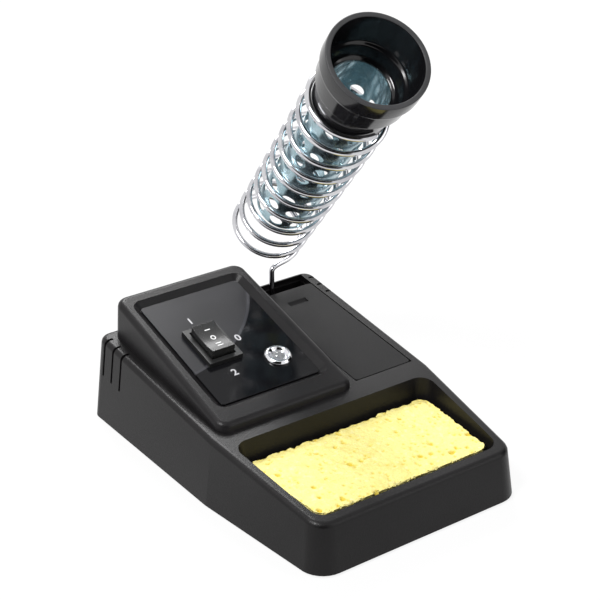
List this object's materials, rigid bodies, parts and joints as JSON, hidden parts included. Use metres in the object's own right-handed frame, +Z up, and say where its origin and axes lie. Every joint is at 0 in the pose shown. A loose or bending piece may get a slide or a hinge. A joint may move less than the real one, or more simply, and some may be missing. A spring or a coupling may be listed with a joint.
{
  "type": "soldering iron station",
  "caption": "Free-standing soldering iron station: a sloped moulded base with a sponge tray and covered well, a rocker switch box and a leaning wire coil iron holder.",
  "frame": {"origin": "centre of the whole footprint, at the height of the surface that the feet stand on", "axes": "+Z up, -Y towards the user and the sponge tray, +X to the user's right"},
  "size_m": [0.111, 0.1603, 0.1738],
  "materials": {
    "base_abs": "fine textured moulding",
    "box_abs": "fine textured moulding",
    "lid_abs": "fine textured moulding",
    "cover_abs": "matt",
    "rubber": "matt",
    "screw_zinc": "zinc plated",
    "ballast_steel": "mill finish",
    "brass": "turned",
    "cellulose": "open pores",
    "label": "two-tone printed film",
    "switch_black": "satin moulding",
    "copper": "stamped",
    "chrome": "polished",
    "lens_clear": "clear",
    "lamp_glow": "translucent",
    "board": "laminate",
    "diode_black": "moulded",
    "resistor_tan": "lacquered",
    "terminal_green": "moulded",
    "lead_red": "insulation",
    "lead_white": "insulation",
    "wire_chrome": "plated spring wire",
    "tube_zinc": "blue zinc plate",
    "cup_phenolic": "glossy thermoset"
  },
  "bodies": {
    "base": {"housing": "base_abs", "bottom_cover": "cover_abs", "housing_screws": "screw_zinc", "rubber_feet": "rubber", "ballast_plate": "ballast_steel", "ballast_screws": "screw_zinc", "mains_grommet": "rubber", "iron_lead_grommet": "rubber", "stem_bushing": "brass", "control_box": "box_abs", "control_box_screws": "screw_zinc", "label_plate": "label", "switch_body": "switch_black", "switch_terminals": "brass", "switch_contact": "copper", "indicator_bezel": "chrome", "indicator_lens": "lens_clear", "indicator_lamp": "lamp_glow", "indicator_washer": "screw_zinc", "indicator_nut": "screw_zinc", "circuit_board": "board", "board_screws": "screw_zinc", "power_diode": "diode_black", "lamp_resistor": "resistor_tan", "terminal_block": "terminal_green", "terminal_screws": "screw_zinc", "switch_leads": "lead_red", "lamp_leads": "lead_white"},
    "rocker": {"rocker": "switch_black", "switch_plunger": "screw_zinc"},
    "storage_lid": {"storage_lid": "lid_abs"},
    "sponge": {"sponge": "cellulose"},
    "holder": {"holder_wire": "wire_chrome", "holder_tube": "tube_zinc", "holder_cup": "cup_phenolic", "stem_clip": "screw_zinc"}
  },
  "joints": [
    {"name": "rocker_turn", "type": "hinge", "parent": "base", "child": "rocker", "pos_m": [-0.02327, 0.02394, 0.03911], "axis": [1, 0, 0], "range_deg": [-8, 8]},
    {"name": "lid_lift", "type": "slide", "parent": "base", "child": "storage_lid", "axis": [0, -0.0954, 0.9954], "range_m": [0, 0.008]},
    {"name": "sponge_lift", "type": "slide", "parent": "base", "child": "sponge", "axis": [0, 0, 1], "range_m": [0, 0.025]},
    {"name": "holder_swivel", "type": "hinge", "parent": "base", "child": "holder", "pos_m": [0.02853, 0.05915, 0.02], "axis": [0, 0, 1], "range_deg": [-40, 40]}
  ]
}
